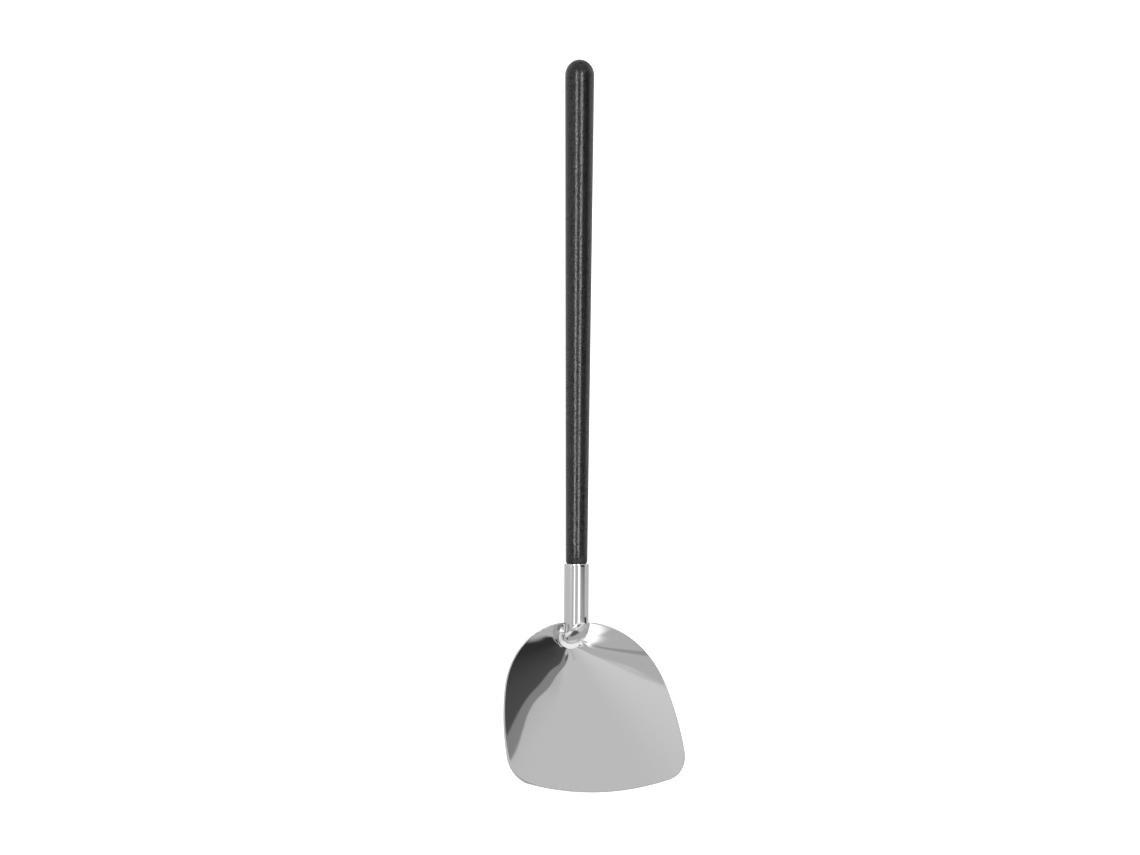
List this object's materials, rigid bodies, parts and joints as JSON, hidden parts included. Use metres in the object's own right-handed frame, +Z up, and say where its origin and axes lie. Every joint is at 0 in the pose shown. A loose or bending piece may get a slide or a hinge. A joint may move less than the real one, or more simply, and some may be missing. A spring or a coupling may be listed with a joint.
{
  "type": "kitchen turner",
  "caption": "Long-handled turner: a shallow fan-shaped steel blade with raised shoulders, welded to a tubular neck that holds a tapered black round-ended handle.",
  "frame": {"origin": "on the table under the middle of the whole turner, as it lies hollow side up on its heel and the end of its handle", "axes": "+Y along the level handle axis towards the round end, +Z up, +X across the blade, which the plane X = 0 halves"},
  "size_m": [0.1124, 0.4004, 0.0355],
  "materials": {
    "blade_steel": "polished",
    "neck_steel": "satin",
    "weld_steel": "polished",
    "grip_plastic": "fine grained, half gloss",
    "core_steel": "drawn rod"
  },
  "bodies": {
    "root": {"blade": "blade_steel", "neck_socket": "neck_steel", "neck_weld": "weld_steel", "handle_grip": "grip_plastic", "handle_core": "core_steel", "fixing_pin": "neck_steel"}
  },
  "joints": []
}
